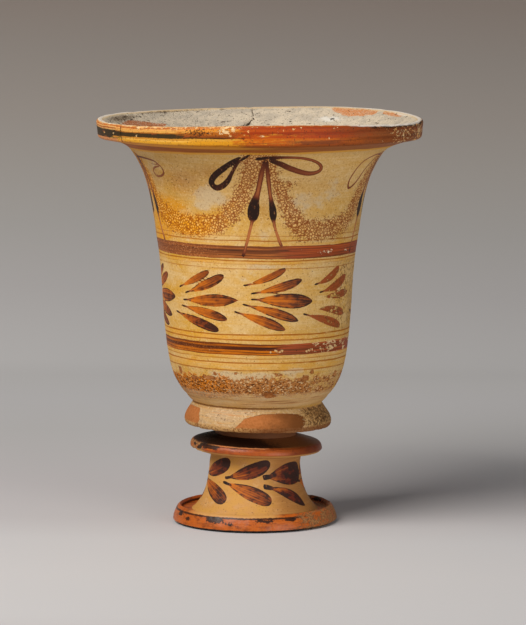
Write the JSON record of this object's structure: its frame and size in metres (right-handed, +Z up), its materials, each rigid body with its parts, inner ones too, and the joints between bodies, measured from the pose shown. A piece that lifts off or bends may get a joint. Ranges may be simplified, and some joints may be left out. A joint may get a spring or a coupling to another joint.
{
  "type": "pedestal bowl",
  "caption": "Hollow bell-shaped terracotta bowl with a broad moulded rim, on a short stem with a skirt, a flange and a flared hollow foot, painted with garlands and leaves.",
  "frame": {"origin": "on the ground, straight below the middle of the rim; the foot's own axis is 2.5 mm towards -X because the bowl leans", "axes": "+Z up, -Y towards the side with the painted bow, +X to the right of that side"},
  "size_m": [0.1596, 0.1596, 0.2005],
  "materials": {
    "painted_clay": "cream slip with orange, red-brown and black painted bands and leaves, worn and soiled, low sheen"
  },
  "bodies": {
    "root": {"pedestal_bowl": "painted_clay"}
  },
  "joints": []
}
